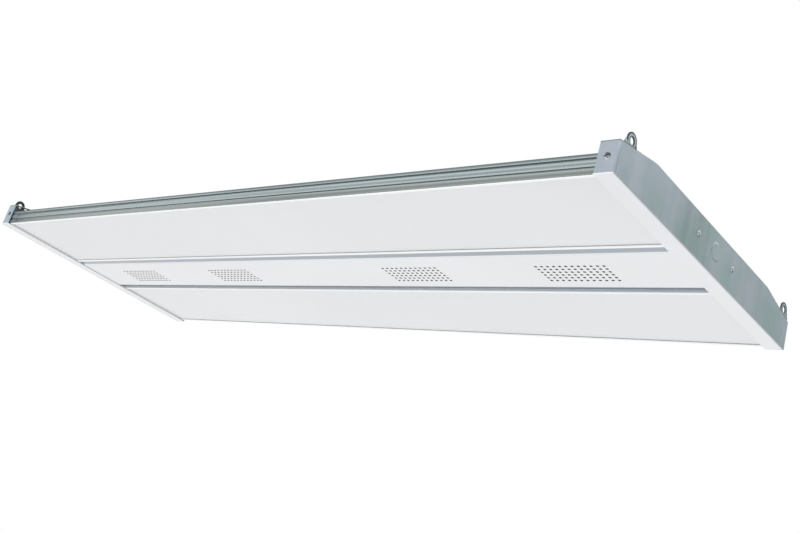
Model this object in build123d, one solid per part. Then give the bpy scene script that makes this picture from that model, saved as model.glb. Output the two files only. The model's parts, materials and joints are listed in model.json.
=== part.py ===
"""Linear LED high bay light, 1190 x 440 x 54.5 mm.

Two extruded heat sinks run the length, each with its LED boards and an opal lens that slides in below.
A folded spine over the gap between them holds the drivers, and a perforated cover closes it underneath.
A folded galvanised cap with two hanging lugs and a white bottom strip close each end.

Frame: X along the length, -Y the near long side, +Z up, origin at the middle of the bottom.
Profiles are drawn for the +Y half, u being the distance from the centre plane, and mirrored for the near half.
"""

import math
import os

from build123d import *

# Overall size
LENGTH = 1190.0
WIDTH = 440.0
CLEARANCE = 0.3

# How far a cutting tool passes a face
PASS = 1.0

# Sides of what is round but small, which keep the facets few
SCREW_SIDES = 6
LEAD_SIDES = 5
DETAIL_SIDES = 10
KNOCKOUT_SIDES = 16

# End cap, folded from galvanised sheet
CAP_SHEET = 1.2
CAP_DEPTH = 22.0
CAP_SIDE_HEIGHT = 37.3
CAP_TOP_HEIGHT = 51.3
CAP_SLOPE_RUN = 72.0
CAP_BEND_RADIUS = 2.0
CAP_GAP = 1.6
CAP_GAP_INSET = 2.0
CAP_GAP_REACH = 3.0
CAP_GAP_STOP = 2.5

# Hanging lugs, cut from the cap's flange and left upright
LUG_INSET = 18.5
LUG_HOLE_HEIGHT = 45.3
LUG_HOLE_DIAMETER = 8.0
LUG_TIP_RADIUS = 9.2
LUG_BASE_WIDTH = 26.0
LUG_ROOT_DROP = 4.0
LUG_FLARE_RISE = 2.0
LUG_NOTCH_DEPTH = 14.0
LUG_NOTCH_DROP = 5.0
LUG_NOTCH_GAP = 1.0

# Conduit knockout, and the rivets beside it that hold the spine
KNOCKOUT_DIAMETER = 22.0
KNOCKOUT_HEIGHT = 27.0
KNOCKOUT_SHIFT = 6.0
KNOCKOUT_SLOT = 0.6
KNOCKOUT_TIE = 3.0
RIVET_PITCH = 89.0
RIVET_DIAMETER = 3.2
RIVET_HEAD_DIAMETER = 6.0
RIVET_HEAD_TOP = 3.6
RIVET_HEAD_HEIGHT = 1.5
RIVET_TAIL_DIAMETER = 4.4
RIVET_TAIL_LENGTH = 1.4
SPINE_END_HOLE = 24.0

# White strip under each end
STRIP_SHEET = 1.2
STRIP_WIDTH = 22.5
STRIP_UPSTAND = 15.0
STRIP_HEM = 1.2

# Heat sink extrusion
SINK_INSET = 3.3
SINK_BOTTOM = 1.5
SINK_TOP = 26.0
SINK_EDGE_RADIUS = 1.0
SINK_WALL = 3.2
SINK_WEB_BOTTOM = 17.0
SINK_WEB = 2.5
FLUTE_DEPTH = 2.0
LOWER_GROOVE_HEIGHT = 10.6
LOWER_GROOVE_WIDTH = 2.0
UPPER_GROOVE_HEIGHT = 20.7
UPPER_GROOVE_WIDTH = 2.0
LOWER_RIB_BULGE = 0.5
MAIN_RIB_BULGE = 1.0
UPPER_RIB_BULGE = 0.5
FIN_COUNT = 10
FIN_THICKNESS = 1.6
FIN_TOP = 31.0
FIN_MARGIN = 10.5

# Lens slots and the silver channel between lens and cover
LIP_THICKNESS = 1.6
LIP_REACH = 2.9
OUTER_LIP_REACH = 1.6
INNER_LIP_REACH = 3.6
CHANNEL_LIP_WALL = 1.2
CHANNEL_HALF = 58.4
CHANNEL_DEPTH = 4.0
CHANNEL_FLOOR = 1.4
INNER_RIB = 3.0
INNER_RIB_STEP = 0.4
COVER_SLOT_HEIGHT = 8.0
COVER_SLOT_DEPTH = 1.4

# Opal lens
LENS_THICKNESS = 2.0

# Centre cover with its vents
COVER_HALF = 44.2
COVER_SHEET = 0.6
COVER_HEM = 0.6
VENT_DIAMETER = 3.9
VENT_SIDES = 4
VENT_PITCH_X = 8.2
VENT_PITCH_Y = 7.8
VENT_COLUMNS = 12
VENT_ROWS = 6
VENT_SHIFT = 5.0
VENT_GROUP_OUTER = 434.0
VENT_GROUP_INNER = 190.0

# Spine channel over the centre
SPINE_SHEET = 1.0
SPINE_HALF = 59.0
SPINE_FLANGE = 14.0

# LED boards
BOARD_LENGTH = 580.0
BOARD_MARGIN = 25.0
BOARD_THICKNESS = 1.6
BOARD_GAP = 6.0
CHIP_SIZE = 5.0
CHIP_HEIGHT = 0.8
CHIP_COLUMNS = 4
CHIP_ROWS = 2
CHIP_PITCH_X = 140.0
CHIP_PITCH_Y = 52.0
CONNECTOR_LENGTH = 12.0
CONNECTOR_WIDTH = 8.0
CONNECTOR_HEIGHT = 4.0
CONNECTOR_OVERHANG = 2.0

# Drivers
DRIVER_LENGTH = 230.0
DRIVER_WIDTH = 60.0
DRIVER_HEIGHT = 28.0
DRIVER_BASE = 1.2
DRIVER_EAR = 14.0
DRIVER_EAR_INSET = 1.0
DRIVER_START = 120.0
DRIVER_EDGE_RADIUS = 2.5

# Terminal block
TERMINAL_LENGTH = 34.0
TERMINAL_WIDTH = 20.0
TERMINAL_HEIGHT = 16.0
TERMINAL_POLES = 3
TERMINAL_SLOT = 5.0
TERMINAL_SLOT_RISE = 2.0
EARTH_SCREW_REACH = 35.0

# Wiring
LEAD_DIAMETER = 3.5
LEAD_HOLE_X = 335.0
LEAD_HOLE_HEIGHT = 14.0
LEAD_BEND = 4.0
GROMMET_WALL = 1.2
GROMMET_FLANGE = 1.2
EARTH_BEND = 4.0
TONGUE_DIAMETER = 10.0
TONGUE_THICKNESS = 0.8
TONGUE_CRIMP = 3.8

# Fasteners
FLANGE_SCREW_X = 12.0
FLANGE_SCREW_HEIGHT = 19.6
FLANGE_SCREW_HEAD = 5.4
FLANGE_SCREW_SHANK = 3.6
FLANGE_SCREW_LENGTH = 9.0
FLANGE_SCREW_SINK = 2.1
DIMPLE_DIAMETER = 8.6
HEX_SCREW_HEAD = 6.0
HEX_SCREW_HEAD_HEIGHT = 2.2
HEX_SCREW_SHANK = 3.0
HEX_SCREW_FIT = 0.1
SPINE_SCREW_COLUMNS = 3
SPINE_SCREW_PITCH = 480.0
BOARD_SCREW_REACH = 200.0

# Worked out from the sizes above
HALF_LENGTH = LENGTH / 2
HALF_WIDTH = WIDTH / 2
CAP_INNER_X = HALF_LENGTH - CAP_SHEET
SINK_HALF_LENGTH = CAP_INNER_X - STRIP_SHEET
SINK_OUTER = HALF_WIDTH - SINK_INSET
SINK_INNER = COVER_HALF + CLEARANCE
SINK_WEB_TOP = SINK_WEB_BOTTOM + SINK_WEB
LENS_BOTTOM = SINK_BOTTOM + LIP_THICKNESS
LENS_SLOT_TOP = LENS_BOTTOM + LENS_THICKNESS + CLEARANCE
LENS_OUTER = SINK_OUTER - SINK_WALL
LENS_INNER = CHANNEL_HALF + CHANNEL_LIP_WALL
FIN_FIRST = SPINE_HALF + SPINE_FLANGE + FIN_MARGIN
FIN_LAST = LENS_OUTER - FIN_MARGIN
BOARD_BOTTOM = SINK_WEB_BOTTOM - BOARD_THICKNESS
BOARD_U = (LENS_INNER + LENS_OUTER) / 2
BOARD_WIDTH = LENS_OUTER - LENS_INNER - 2 * BOARD_MARGIN
CHANNEL_TOP = SINK_BOTTOM + CHANNEL_DEPTH
CHANNEL_CREST = CHANNEL_HALF - CHANNEL_FLOOR
INNER_RIB_FOOT = SINK_BOTTOM + INNER_RIB_STEP
SPINE_TOP = CAP_TOP_HEIGHT - CAP_SHEET
SPINE_CEILING = SPINE_TOP - SPINE_SHEET
DRIVER_BOTTOM = SPINE_CEILING - DRIVER_BASE - DRIVER_HEIGHT
LEAD_HOLE_DIAMETER = LEAD_DIAMETER + 2 * GROMMET_WALL
SCREW_BORE = HEX_SCREW_SHANK + 2 * HEX_SCREW_FIT
FLANGE_SCREW_BORE = FLANGE_SCREW_SHANK + 2 * HEX_SCREW_FIT


def box(x0, x1, y0, y1, z0, z1):
    """A box from its six limits."""
    return Pos((x0 + x1) / 2, (y0 + y1) / 2, (z0 + z1) / 2) * Box(abs(x1 - x0), abs(y1 - y0), abs(z1 - z0))


def run(face, x0, x1):
    """A face drawn on the YZ plane, extruded along X from x0 to x1."""
    return Pos(x0, 0, 0) * extrude(face, x1 - x0)


def polygon(points):
    """A closed face on the YZ plane through (y, z) points."""
    return Plane.YZ * make_face(Polyline(*points, close=True))


def rod(x, y, z, diameter, length, direction):
    """A round rod that starts at a point and runs along a direction."""
    plane = Plane(origin=(x, y, z), z_dir=direction)
    return extrude(plane * Circle(diameter / 2), length)


def slim_rod(x, y, z, diameter, length, direction, sides=SCREW_SIDES):
    """A rod of few sides, for shanks, small bores and leads."""
    plane = Plane(origin=(x, y, z), z_dir=direction)
    return extrude(plane * RegularPolygon(diameter / 2, sides), length)


def cone(plane, depth, start, end, sides=DETAIL_SIDES):
    """A small cone of few sides on a plane, from its start diameter to its end diameter."""
    first = plane * RegularPolygon(start / 2, sides)
    last = plane.offset(depth) * RegularPolygon(end / 2, sides)
    return loft([first, last], ruled=True)


def near(part):
    """The near half's copy of a part that was drawn for the far half."""
    return mirror(part, about=Plane.XZ)


def left(part):
    """The left end's copy of a part that was drawn for the right end."""
    return mirror(part, about=Plane.YZ)


def group(solids):
    """Several separate solids kept together as one node."""
    pieces = []
    for item in solids:
        pieces += item.solids()
    return Compound(children=pieces)


def cap_outline(inset):
    """The cap's outline on the YZ plane, moved inwards by a distance, with its bottom left open."""
    half = HALF_WIDTH - inset
    angle = math.atan2(CAP_TOP_HEIGHT - CAP_SIDE_HEIGHT, CAP_SLOPE_RUN)
    knee = CAP_SIDE_HEIGHT - inset * (1 / math.cos(angle) - math.tan(angle))
    top = CAP_TOP_HEIGHT - inset
    crown = half - (top - knee) / math.tan(angle)
    bottom = STRIP_SHEET - (PASS if inset else 0.0)
    return polygon([
        (-half, bottom), (half, bottom), (half, knee), (crown, top), (-crown, top), (-half, knee),
    ])


def lug_outline(side):
    """One hanging lug on the YZ plane, from below the slope to its round tip."""
    y = side * (HALF_WIDTH - LUG_INSET)
    half = LUG_BASE_WIDTH / 2
    root = CAP_SIDE_HEIGHT - LUG_ROOT_DROP
    flare = CAP_SIDE_HEIGHT + LUG_FLARE_RISE
    base = polygon([
        (y - half, root), (y + half, root), (y + half, flare), (y + LUG_TIP_RADIUS, LUG_HOLE_HEIGHT),
        (y - LUG_TIP_RADIUS, LUG_HOLE_HEIGHT), (y - half, flare),
    ])
    tip = Plane.YZ * Pos(y, LUG_HOLE_HEIGHT) * Circle(LUG_TIP_RADIUS)
    return base + tip


def knockout_slot():
    """The pierced ring round the conduit knockout, with its two ties left in."""
    radius = KNOCKOUT_DIAMETER / 2
    ring = RegularPolygon(radius, KNOCKOUT_SIDES) - RegularPolygon(radius - KNOCKOUT_SLOT, KNOCKOUT_SIDES)
    ring -= Rectangle(KNOCKOUT_DIAMETER + 2 * PASS, KNOCKOUT_TIE)
    return Plane.YZ * Pos(KNOCKOUT_SHIFT, KNOCKOUT_HEIGHT) * ring


def rivet_places():
    """The (y, z) places of the two rivets beside the knockout."""
    return [(KNOCKOUT_SHIFT + side * RIVET_PITCH / 2, KNOCKOUT_HEIGHT) for side in (-1, 1)]


def screw_dimple():
    """The cone that the side flange's screw sinks into, in the far flange: its outside and its hollow."""
    plane = Plane(origin=(HALF_LENGTH - FLANGE_SCREW_X, HALF_WIDTH, FLANGE_SCREW_HEIGHT), z_dir=(0, -1, 0))
    wall = 2 * CAP_SHEET
    outer = cone(plane, SINK_INSET, DIMPLE_DIAMETER + wall / 2, FLANGE_SCREW_BORE + wall)
    hollow = cone(plane, SINK_INSET, DIMPLE_DIAMETER, FLANGE_SCREW_BORE)
    return outer, hollow


def make_end_cap():
    """The right end cap: a folded pan with lugs, knockout, rivet holes and dimpled screw seats."""
    cap = run(cap_outline(0), HALF_LENGTH - CAP_DEPTH, HALF_LENGTH)
    bends = cap.faces().sort_by(Axis.X)[-1].edges().filter_by(lambda e: e.center().Z > STRIP_SHEET + PASS)
    cap = fillet(bends, CAP_BEND_RADIUS)
    cap -= run(cap_outline(CAP_SHEET), HALF_LENGTH - CAP_DEPTH - PASS, CAP_INNER_X)
    crown = HALF_WIDTH - CAP_SLOPE_RUN
    knee = HALF_WIDTH - CAP_GAP_INSET
    flange_end = HALF_LENGTH - CAP_GAP_STOP
    notch = LUG_BASE_WIDTH / 2 + LUG_NOTCH_GAP
    for side in (-1, 1):
        y = side * (HALF_WIDTH - LUG_INSET)
        cap -= box(0, flange_end, side * knee, side * (knee - CAP_GAP),
                   CAP_SIDE_HEIGHT - CAP_GAP_REACH, CAP_SIDE_HEIGHT + CAP_GAP_REACH)
        cap -= box(0, flange_end, side * crown - CAP_GAP / 2, side * crown + CAP_GAP / 2,
                   CAP_TOP_HEIGHT - CAP_GAP_REACH, CAP_TOP_HEIGHT + PASS)
        cap -= box(CAP_INNER_X - LUG_NOTCH_DEPTH, CAP_INNER_X, y - notch, y + notch,
                   CAP_SIDE_HEIGHT - LUG_NOTCH_DROP, CAP_TOP_HEIGHT + PASS)
        cap += run(lug_outline(side), CAP_INNER_X, HALF_LENGTH)
        cap -= rod(CAP_INNER_X - PASS, y, LUG_HOLE_HEIGHT, LUG_HOLE_DIAMETER, CAP_SHEET + 2 * PASS, (1, 0, 0))
    outer, hollow = screw_dimple()
    cap += outer + near(outer)
    cap -= hollow + near(hollow)
    cap -= run(knockout_slot(), CAP_INNER_X - PASS, HALF_LENGTH + PASS)
    for y, z in rivet_places():
        cap -= slim_rod(CAP_INNER_X - PASS, y, z, RIVET_DIAMETER, CAP_SHEET + 2 * PASS, (1, 0, 0))
    return cap


def hem_outlines():
    """The (u, z) outlines of the hems on the strip's inner edge, under a lens and in a channel."""
    top = LENS_BOTTOM - CLEARANCE
    inner = LENS_INNER + INNER_LIP_REACH + CLEARANCE
    outer = LENS_OUTER - OUTER_LIP_REACH - CLEARANCE
    wall = CHANNEL_HALF - CLEARANCE
    crest = CHANNEL_TOP - CLEARANCE
    start = SINK_INNER + STRIP_HEM
    return [
        [(inner, STRIP_SHEET), (outer, STRIP_SHEET), (outer, top), (inner, top)],
        [(start, STRIP_SHEET), (wall, STRIP_SHEET), (wall, crest), (CHANNEL_CREST, crest),
         (start, INNER_RIB_FOOT - CLEARANCE)],
    ]


def make_end_strip():
    """The right end's white strip: a leg under the end, hems inside and an upstand behind the plate."""
    x1 = HALF_LENGTH
    x0 = HALF_LENGTH - STRIP_WIDTH
    strip = box(x0, x1, -HALF_WIDTH, HALF_WIDTH, 0, STRIP_SHEET)
    corners = strip.edges().filter_by(Axis.Z).group_by(Axis.X)[-1]
    strip = fillet(corners, CAP_BEND_RADIUS)
    reach = SINK_OUTER - SINK_EDGE_RADIUS
    strip += box(CAP_INNER_X - STRIP_SHEET, CAP_INNER_X, -reach, reach, STRIP_SHEET, STRIP_UPSTAND)
    for outline in hem_outlines():
        hem = run(polygon(outline), x0, x0 + STRIP_HEM)
        strip += hem + near(hem)
    return strip


def flute_face():
    """The (u, z) outline pieces of the fluted outer face, from the bottom edge to the top edge."""
    o = SINK_OUTER
    deep = o - FLUTE_DEPTH
    lower = LOWER_GROOVE_HEIGHT
    upper = UPPER_GROOVE_HEIGHT
    a = LOWER_GROOVE_WIDTH / 2
    b = UPPER_GROOVE_WIDTH / 2
    start = (o - LOWER_RIB_BULGE, SINK_BOTTOM + SINK_EDGE_RADIUS)
    bottom = (start[0] - SINK_EDGE_RADIUS, SINK_BOTTOM)
    low_top = (o - LOWER_RIB_BULGE, lower - a)
    main_foot = (o - MAIN_RIB_BULGE, lower + a)
    main_top = (o - MAIN_RIB_BULGE, upper - b)
    high_foot = (o - UPPER_RIB_BULGE, upper + b)
    high_top = (o - UPPER_RIB_BULGE, SINK_TOP)
    return [
        RadiusArc(bottom, start, SINK_EDGE_RADIUS),
        ThreePointArc(start, (o, (start[1] + low_top[1]) / 2), low_top),
        Polyline(low_top, (deep, low_top[1]), (deep, main_foot[1]), main_foot),
        ThreePointArc(main_foot, (o, (main_foot[1] + main_top[1]) / 2), main_top),
        Polyline(main_top, (deep, main_top[1]), (deep, high_foot[1]), high_foot),
        ThreePointArc(high_foot, (o, (high_foot[1] + high_top[1]) / 2), high_top),
    ], bottom, high_top


def sink_profile():
    """The heat sink's closed section on the YZ plane, for the far half."""
    pieces, bottom, top = flute_face()
    wall = LENS_OUTER
    lip = LENS_INNER
    inner_lip = LENS_INNER + INNER_LIP_REACH
    outer_lip = LENS_OUTER - OUTER_LIP_REACH
    inner = SINK_INNER
    ledge = LENS_SLOT_TOP + LIP_THICKNESS
    slot = COVER_SLOT_HEIGHT
    slot_top = slot + COVER_HEM + CLEARANCE
    rest = [
        top, (wall, SINK_TOP), (wall, SINK_WEB_TOP),
        (inner, SINK_WEB_TOP), (inner, slot_top),
        (inner + COVER_SLOT_DEPTH, slot_top), (inner + COVER_SLOT_DEPTH, slot), (inner, slot),
        (inner, INNER_RIB_FOOT), (CHANNEL_CREST, CHANNEL_TOP), (CHANNEL_HALF, CHANNEL_TOP),
        (CHANNEL_HALF, SINK_BOTTOM), (inner_lip, SINK_BOTTOM), (inner_lip, LENS_BOTTOM), (lip, LENS_BOTTOM),
        (lip, LENS_SLOT_TOP), (lip + LIP_REACH, LENS_SLOT_TOP), (lip + LIP_REACH, ledge),
        (CHANNEL_CREST, ledge), (inner + INNER_RIB, INNER_RIB_FOOT + INNER_RIB),
        (inner + INNER_RIB, SINK_WEB_BOTTOM), (wall, SINK_WEB_BOTTOM), (wall, ledge),
        (wall - LIP_REACH, ledge), (wall - LIP_REACH, LENS_SLOT_TOP), (wall, LENS_SLOT_TOP),
        (wall, LENS_BOTTOM), (outer_lip, LENS_BOTTOM), (outer_lip, SINK_BOTTOM), bottom,
    ]
    return Plane.YZ * make_face(pieces + [Polyline(*rest)])


def make_heat_sink():
    """The far heat sink: one extrusion with fluted edge, web, fins, lens slots and channel."""
    sink = run(sink_profile(), -SINK_HALF_LENGTH, SINK_HALF_LENGTH)
    step = (FIN_LAST - FIN_FIRST) / (FIN_COUNT - 1)
    for index in range(FIN_COUNT):
        u = FIN_FIRST + index * step
        sink += box(-SINK_HALF_LENGTH, SINK_HALF_LENGTH, u - FIN_THICKNESS / 2, u + FIN_THICKNESS / 2,
                    SINK_WEB_TOP, FIN_TOP)
    for side in (-1, 1):
        x = side * (HALF_LENGTH - FLANGE_SCREW_X)
        sink -= slim_rod(x, SINK_OUTER + PASS, FLANGE_SCREW_HEIGHT, FLANGE_SCREW_BORE,
                         FLANGE_SCREW_LENGTH + PASS, (0, -1, 0))
        sink -= slim_rod(side * LEAD_HOLE_X, SINK_INNER - PASS, LEAD_HOLE_HEIGHT, LEAD_HOLE_DIAMETER,
                         INNER_RIB + 2 * PASS, (0, 1, 0), LEAD_SIDES)
    bores = [(x, spine_screw_u()) for x in spine_screw_columns()]
    bores += [(x, BOARD_U) for x in board_screw_columns()]
    for x, u in bores:
        sink -= slim_rod(x, u, SINK_WEB_BOTTOM - PASS, SCREW_BORE, SINK_WEB + 2 * PASS, (0, 0, 1))
    return sink


def make_lens():
    """The far opal lens, a flat sheet in the slots of its heat sink."""
    return box(-SINK_HALF_LENGTH, SINK_HALF_LENGTH, LENS_INNER + CLEARANCE, LENS_OUTER - CLEARANCE,
               LENS_BOTTOM, LENS_BOTTOM + LENS_THICKNESS)


def vent_group_centres():
    """The X places of the four groups of vents."""
    return [-VENT_GROUP_OUTER, -VENT_GROUP_INNER, VENT_GROUP_INNER, VENT_GROUP_OUTER]


def vent_radius():
    """The corner radius of a vent of few sides, as open as a round vent."""
    wedge = math.pi / VENT_SIDES
    return VENT_DIAMETER / 2 * math.sqrt(wedge / (math.sin(wedge) * math.cos(wedge)))


def make_centre_cover():
    """The perforated cover: a folded tray whose hems slide in the slots of the heat sinks."""
    half = COVER_HALF
    sheet = COVER_SHEET
    bottom = SINK_BOTTOM
    hem_bottom = COVER_SLOT_HEIGHT
    hem_top = COVER_SLOT_HEIGHT + COVER_HEM
    hem = half + COVER_SLOT_DEPTH
    right = [
        (half - sheet, bottom), (half, bottom + sheet), (half, hem_bottom), (hem, hem_bottom),
        (hem, hem_top), (half - sheet, hem_top), (half - sheet, bottom + sheet),
    ]
    outline = right + [(-y, z) for y, z in reversed(right)]
    cover = run(polygon(outline), -SINK_HALF_LENGTH, SINK_HALF_LENGTH)
    hole = Rot(0, 0, 45) * RegularPolygon(vent_radius(), VENT_SIDES)
    punch = Pos(0, VENT_SHIFT, bottom - PASS) * extrude(hole, sheet + 2 * PASS)
    pattern = GridLocations(VENT_PITCH_X, VENT_PITCH_Y, VENT_COLUMNS, VENT_ROWS)
    return cover - [Pos(x, 0, 0) * place * punch for x in vent_group_centres() for place in pattern]


def spine_screw_columns():
    """The X places of the screws that hold the spine to a heat sink."""
    first = -SPINE_SCREW_PITCH * (SPINE_SCREW_COLUMNS - 1) / 2
    return [first + index * SPINE_SCREW_PITCH for index in range(SPINE_SCREW_COLUMNS)]


def spine_screw_u():
    """How far out the spine's screws lie, in the middle of its flange."""
    return SPINE_HALF + SPINE_FLANGE / 2


def make_spine_channel():
    """The spine: a folded channel, open underneath, with closed ends and a flange along each side."""
    half = SPINE_HALF
    inner = half - SPINE_SHEET
    edge = half + SPINE_FLANGE
    base = SINK_WEB_TOP
    right = [
        (inner, base), (edge, base), (edge, base + SPINE_SHEET), (half, base + SPINE_SHEET), (half, SPINE_TOP),
    ]
    under = [(-inner, base), (-inner, SPINE_CEILING), (inner, SPINE_CEILING)]
    outline = right + [(-y, z) for y, z in reversed(right)] + under[1:]
    spine = run(polygon(outline), -CAP_INNER_X, CAP_INNER_X)
    for side in (-1, 1):
        x = side * CAP_INNER_X
        spine += box(x, x - side * SPINE_SHEET, -inner, inner, base, SPINE_CEILING)
        start = x - side * (SPINE_SHEET + PASS)
        for y, z in rivet_places():
            spine -= slim_rod(start, y, z, RIVET_DIAMETER, SPINE_SHEET + 2 * PASS, (side, 0, 0))
        spine -= slim_rod(start, KNOCKOUT_SHIFT, KNOCKOUT_HEIGHT, SPINE_END_HOLE, SPINE_SHEET + 2 * PASS,
                          (side, 0, 0), KNOCKOUT_SIDES)
        for x in spine_screw_columns():
            spine -= slim_rod(x, side * spine_screw_u(), base - PASS, SCREW_BORE, SPINE_SHEET + 2 * PASS,
                              (0, 0, 1))
    for x, y in driver_screw_places() + [ground_screw_place()]:
        spine -= slim_rod(x, y, SPINE_CEILING - PASS, SCREW_BORE, SPINE_SHEET + 2 * PASS, (0, 0, 1))
    return spine


def make_driver():
    """The right LED driver: a closed case on a base plate with an ear at each end."""
    x0 = DRIVER_START
    x1 = DRIVER_START + DRIVER_LENGTH
    half = DRIVER_WIDTH / 2
    case = box(x0, x1, -half, half, DRIVER_BOTTOM, SPINE_CEILING - DRIVER_BASE)
    rounded = case.edges().filter_by(Axis.X).filter_by(lambda e: e.center().Z < DRIVER_BOTTOM + PASS)
    case = fillet(rounded, DRIVER_EDGE_RADIUS)
    ear = half - DRIVER_EAR_INSET
    base = box(x0 - DRIVER_EAR, x1 + DRIVER_EAR, -ear, ear, SPINE_CEILING - DRIVER_BASE, SPINE_CEILING)
    driver = case + base
    start = SPINE_CEILING - DRIVER_BASE - PASS
    for x in (x0 - DRIVER_EAR / 2, x1 + DRIVER_EAR / 2):
        driver -= slim_rod(x, 0, start, SCREW_BORE, DRIVER_BASE + 2 * PASS, (0, 0, 1))
    return driver


def driver_screw_places():
    """The (x, y) places of the screws through the drivers' ears."""
    inner = DRIVER_START - DRIVER_EAR / 2
    outer = DRIVER_START + DRIVER_LENGTH + DRIVER_EAR / 2
    return [(-outer, 0), (-inner, 0), (inner, 0), (outer, 0)]


def ground_screw_place():
    """The (x, y) place of the earth screw, beside the terminal block."""
    return EARTH_SCREW_REACH, SPINE_HALF / 2


def make_terminal_block():
    """The supply terminal block under the spine, with a wire port for each pole."""
    half = TERMINAL_LENGTH / 2
    bottom = SPINE_CEILING - TERMINAL_HEIGHT
    block = box(-half, half, -TERMINAL_WIDTH / 2, TERMINAL_WIDTH / 2, bottom, SPINE_CEILING)
    pitch = TERMINAL_LENGTH / TERMINAL_POLES
    port = TERMINAL_SLOT / 2
    sill = bottom + TERMINAL_SLOT_RISE
    for index in range(TERMINAL_POLES):
        x = (index - (TERMINAL_POLES - 1) / 2) * pitch
        for side in (-1, 1):
            y = side * TERMINAL_WIDTH / 2
            block -= box(x - port, x + port, y - side * TERMINAL_SLOT, y + side * PASS,
                         sill, sill + TERMINAL_SLOT)
    return block


def board_centre_x():
    """How far a board's middle is from the middle of the light."""
    return (BOARD_LENGTH + BOARD_GAP) / 2


def board_screw_columns():
    """The X places of all the screws that hold one heat sink's boards."""
    return [end * board_centre_x() + side * BOARD_SCREW_REACH for end in (-1, 1) for side in (-1, 1)]


def make_led_board():
    """The far right LED board, flat under the heat sink's web."""
    x = board_centre_x()
    reach = BOARD_LENGTH / 2
    half = BOARD_WIDTH / 2
    board = box(x - reach, x + reach, BOARD_U - half, BOARD_U + half, BOARD_BOTTOM, SINK_WEB_BOTTOM)
    for screw_x in board_screw_columns():
        if screw_x > 0:
            board -= slim_rod(screw_x, BOARD_U, BOARD_BOTTOM - PASS, SCREW_BORE, BOARD_THICKNESS + 2 * PASS,
                              (0, 0, 1))
    return board


def make_led_chips():
    """The LEDs on one board, rows along X, spread evenly about its middle."""
    chips = []
    z = BOARD_BOTTOM - CHIP_HEIGHT / 2
    pattern = GridLocations(CHIP_PITCH_X, CHIP_PITCH_Y, CHIP_COLUMNS, CHIP_ROWS)
    for place in Pos(board_centre_x(), BOARD_U, z) * pattern:
        chips.append(place * Box(CHIP_SIZE, CHIP_SIZE, CHIP_HEIGHT))
    return chips


def connector_u():
    """Where the connector starts, just over the board's inner edge."""
    return BOARD_U - BOARD_WIDTH / 2 - CONNECTOR_OVERHANG


def make_connector():
    """The far right board's supply connector, under the board in front of the wire hole."""
    u0 = connector_u()
    half = CONNECTOR_LENGTH / 2
    return box(LEAD_HOLE_X - half, LEAD_HOLE_X + half, u0, u0 + CONNECTOR_WIDTH,
               BOARD_BOTTOM - CONNECTOR_HEIGHT, BOARD_BOTTOM)


def make_output_lead():
    """The lead from under the right driver, through the wire hole to the far right connector."""
    start_y = DRIVER_WIDTH / 2 - LEAD_DIAMETER
    path = FilletPolyline(
        (LEAD_HOLE_X, start_y, DRIVER_BOTTOM),
        (LEAD_HOLE_X, start_y, LEAD_HOLE_HEIGHT),
        (LEAD_HOLE_X, connector_u(), LEAD_HOLE_HEIGHT),
        radius=LEAD_BEND,
    )
    return lead_along(path)


def lead_along(path):
    """A lead that follows a path."""
    section = Plane(origin=path @ 0, z_dir=path % 0) * RegularPolygon(LEAD_DIAMETER / 2, LEAD_SIDES)
    return sweep(section, path=path)


def make_earth_lead():
    """The earth lead from the terminal block to a ring tongue under the earth screw."""
    start_x = TERMINAL_LENGTH / TERMINAL_POLES
    start_z = SPINE_CEILING - TERMINAL_HEIGHT + TERMINAL_SLOT_RISE + TERMINAL_SLOT / 2
    x, y = ground_screw_place()
    z = SPINE_CEILING - LEAD_DIAMETER / 2
    path = FilletPolyline(
        (start_x, TERMINAL_WIDTH / 2, start_z),
        (start_x, TERMINAL_WIDTH / 2 + 2 * EARTH_BEND, start_z),
        (start_x, y, z),
        (x - TONGUE_CRIMP, y, z),
        radius=EARTH_BEND,
    )
    top = (x, y, SPINE_CEILING)
    tongue = slim_rod(*top, TONGUE_DIAMETER, TONGUE_THICKNESS, (0, 0, -1), LEAD_SIDES)
    return lead_along(path) + tongue - slim_rod(*top, SCREW_BORE, TONGUE_THICKNESS, (0, 0, -1))


def make_supply_lead():
    """The straight lead from the terminal block's end to the right driver's inner end."""
    start = TERMINAL_LENGTH / 2
    height = SPINE_CEILING - TERMINAL_HEIGHT / 2
    return slim_rod(start, 0, height, LEAD_DIAMETER, DRIVER_START - start, (1, 0, 0), LEAD_SIDES)


def make_grommet():
    """The rubber grommet in the far wire hole, flanged on the side of the wiring space."""
    face = (LEAD_HOLE_X, SINK_INNER, LEAD_HOLE_HEIGHT)
    flange_diameter = LEAD_HOLE_DIAMETER + 2 * GROMMET_FLANGE
    tube = slim_rod(*face, LEAD_HOLE_DIAMETER, INNER_RIB, (0, 1, 0), LEAD_SIDES)
    flange = slim_rod(*face, flange_diameter, GROMMET_FLANGE, (0, -1, 0), LEAD_SIDES)
    bore_length = 2 * (INNER_RIB + GROMMET_FLANGE)
    bore = slim_rod(*face, LEAD_DIAMETER + 2 * CLEARANCE, bore_length, (0, 1, 0), LEAD_SIDES)
    return tube + flange - Pos(0, -INNER_RIB, 0) * bore


def make_flange_screw():
    """The countersunk screw in the far side flange of the right end."""
    x = HALF_LENGTH - FLANGE_SCREW_X
    face = (x, HALF_WIDTH - FLANGE_SCREW_SINK, FLANGE_SCREW_HEIGHT)
    head_depth = (FLANGE_SCREW_HEAD - FLANGE_SCREW_SHANK) / 2
    head = cone(Plane(origin=face, z_dir=(0, -1, 0)), head_depth, FLANGE_SCREW_HEAD, FLANGE_SCREW_SHANK)
    return head + slim_rod(*face, FLANGE_SCREW_SHANK, FLANGE_SCREW_LENGTH, (0, -1, 0))


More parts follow.
